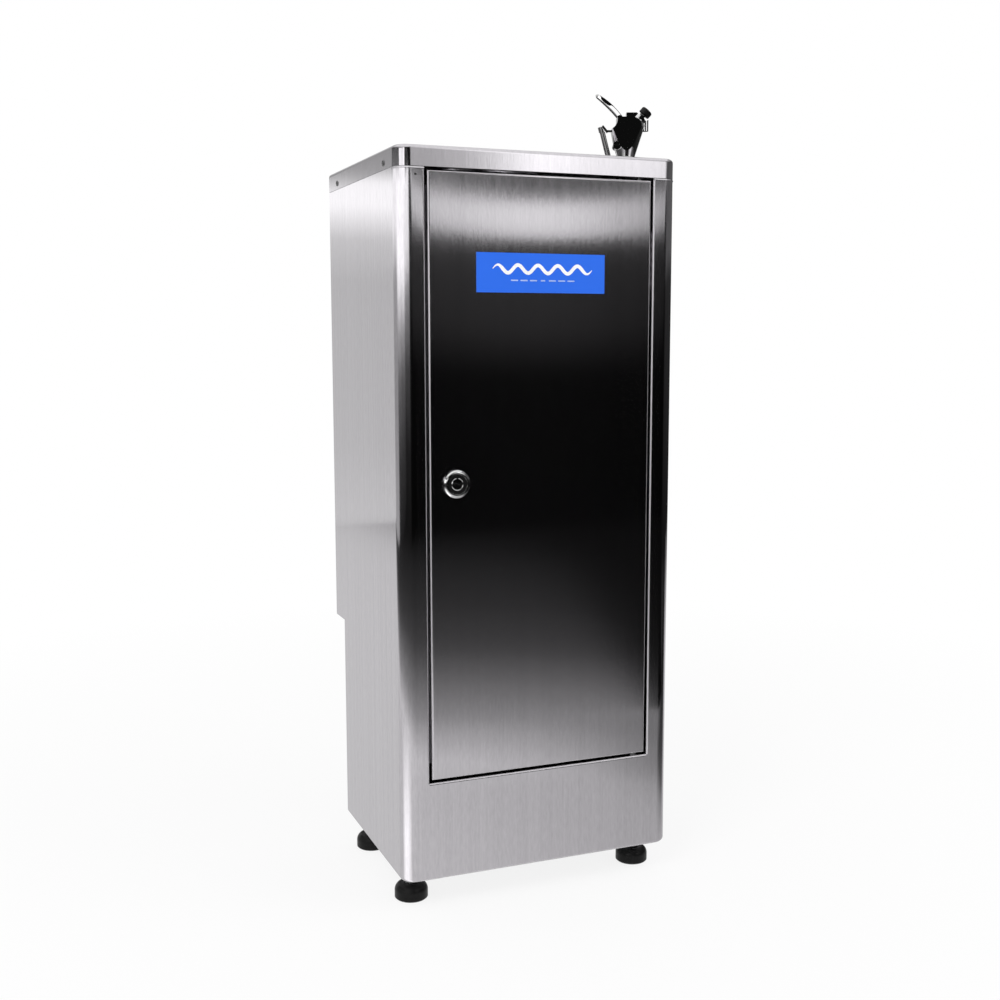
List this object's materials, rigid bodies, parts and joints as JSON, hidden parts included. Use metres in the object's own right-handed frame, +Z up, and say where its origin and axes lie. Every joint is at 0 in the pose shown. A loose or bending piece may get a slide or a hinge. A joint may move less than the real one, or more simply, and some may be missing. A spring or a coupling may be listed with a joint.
{
  "type": "drinking water dispenser",
  "caption": "Floor-standing drinking water dispenser: brushed steel filter cabinet with a lockable door, a sunk basin and a push-button bubbler tap, on levelling feet.",
  "frame": {"origin": "on the floor under the middle of the cabinet", "axes": "+Z up, -Y towards the door, +X to the right when facing the door"},
  "size_m": [0.3624, 0.3057, 0.9921],
  "materials": {
    "brushed": "vertically brushed stainless steel",
    "plated": "zinc plated steel",
    "polished": "polished chrome plate",
    "screw_steel": "plain steel",
    "black_plastic": "moulded black plastic",
    "black_rubber": "soft rubber",
    "white_plastic": "moulded white plastic",
    "grey_plastic": "grey waste fitting",
    "brass": "turned brass",
    "tube": "pale plastic water tube",
    "red_paint": "dipped red coating",
    "blue_plate": "printed blue plate"
  },
  "bodies": {
    "cabinet": {"cabinet_wrap": "brushed", "base_tray": "plated", "foot_bosses": "plated", "top_frame": "plated", "rear_cover": "brushed", "rear_cover_screws": "screw_steel", "lower_rear_panel": "brushed", "top_cover": "brushed", "cap_screws": "screw_steel", "door_stop": "plated", "door_bumpers": "black_rubber", "hinge_bracket": "plated", "hinge_pins": "screw_steel", "basin": "brushed", "drain_strainer": "polished", "drain_fitting": "polished", "drain_gasket": "black_rubber", "drain_nut": "white_plastic", "trap_body": "white_plastic", "trap_cup": "white_plastic", "waste_pipe": "white_plastic", "waste_outlet": "grey_plastic", "shutoff_valve": "brass", "inlet_nut": "brass", "supply_tube": "tube", "filter_rail": "plated", "filter_head": "white_plastic", "head_screws": "screw_steel", "outlet_tube": "tube", "tap_gasket": "black_rubber", "tap_base": "polished", "tap_body": "polished", "tap_nozzle": "polished", "mouth_guard": "polished", "button_bonnet": "polished", "button_spring": "screw_steel", "tap_nut": "brass"},
    "door": {"door_panel": "brushed", "door_stiffener": "plated", "name_plate": "blue_plate", "lock_housing": "polished", "lock_nut": "plated", "hinge_bushes": "white_plastic"},
    "lock": {"lock_plug": "black_plastic", "lock_cam": "plated", "cam_screw": "screw_steel"},
    "button": {"push_button": "black_plastic"},
    "valve_lever": {"shutoff_lever": "red_paint"},
    "jet_screw": {"flow_screw": "polished"},
    "cartridge_left": {"filter_cartridge_left": "white_plastic"},
    "cartridge_middle": {"filter_cartridge_middle": "white_plastic"},
    "cartridge_right": {"filter_cartridge_right": "white_plastic"},
    "foot_front_left": {"foot_pad_front_left": "black_plastic", "foot_stud_front_left": "plated"},
    "foot_front_right": {"foot_pad_front_right": "black_plastic", "foot_stud_front_right": "plated"},
    "foot_rear_left": {"foot_pad_rear_left": "black_plastic", "foot_stud_rear_left": "plated"},
    "foot_rear_right": {"foot_pad_rear_right": "black_plastic", "foot_stud_rear_right": "plated"}
  },
  "joints": [
    {"name": "door_hinge", "type": "hinge", "parent": "cabinet", "child": "door", "pos_m": [0.131, -0.141, 0.524], "axis": [0, 0, 1], "range_deg": [0, 105]},
    {"name": "lock_turn", "type": "hinge", "parent": "door", "child": "lock", "pos_m": [-0.1105, -0.15, 0.523], "axis": [0, 1, 0], "range_deg": [0, 90]},
    {"name": "button_press", "type": "slide", "parent": "cabinet", "child": "button", "axis": [-0.6186, 0.255, -0.7431], "range_m": [0, 0.004], "stiffness_N_per_m": 800, "springref_m": -0.004, "deforming": ["button_spring"]},
    {"name": "shutoff_turn", "type": "hinge", "parent": "cabinet", "child": "valve_lever", "pos_m": [-0.15, 0.079, 0.19], "axis": [0, 0, 1], "range_deg": [0, 90]},
    {"name": "jet_screw_turn", "type": "hinge", "parent": "cabinet", "child": "jet_screw", "pos_m": [0.11636, -0.11051, 0.9281], "axis": [0.3811, 0.9245, 0], "range_deg": [-90, 180]},
    {"name": "cartridge_turn_left", "type": "hinge", "parent": "cabinet", "child": "cartridge_left", "pos_m": [-0.092, 0.02, 0.59], "axis": [0, 0, 1], "range_deg": [0, 60]},
    {"name": "cartridge_turn_middle", "type": "hinge", "parent": "cabinet", "child": "cartridge_middle", "pos_m": [0, 0.02, 0.59], "axis": [0, 0, 1], "range_deg": [0, 60]},
    {"name": "cartridge_turn_right", "type": "hinge", "parent": "cabinet", "child": "cartridge_right", "pos_m": [0.092, 0.02, 0.59], "axis": [0, 0, 1], "range_deg": [0, 60]},
    {"name": "foot_screw_front_left", "type": "slide", "parent": "cabinet", "child": "foot_front_left", "axis": [0, 0, -1], "range_m": [-0.008, 0.015]},
    {"name": "foot_screw_front_right", "type": "slide", "parent": "cabinet", "child": "foot_front_right", "axis": [0, 0, -1], "range_m": [-0.008, 0.015]},
    {"name": "foot_screw_rear_left", "type": "slide", "parent": "cabinet", "child": "foot_rear_left", "axis": [0, 0, -1], "range_m": [-0.008, 0.015]},
    {"name": "foot_screw_rear_right", "type": "slide", "parent": "cabinet", "child": "foot_rear_right", "axis": [0, 0, -1], "range_m": [-0.008, 0.015]}
  ]
}
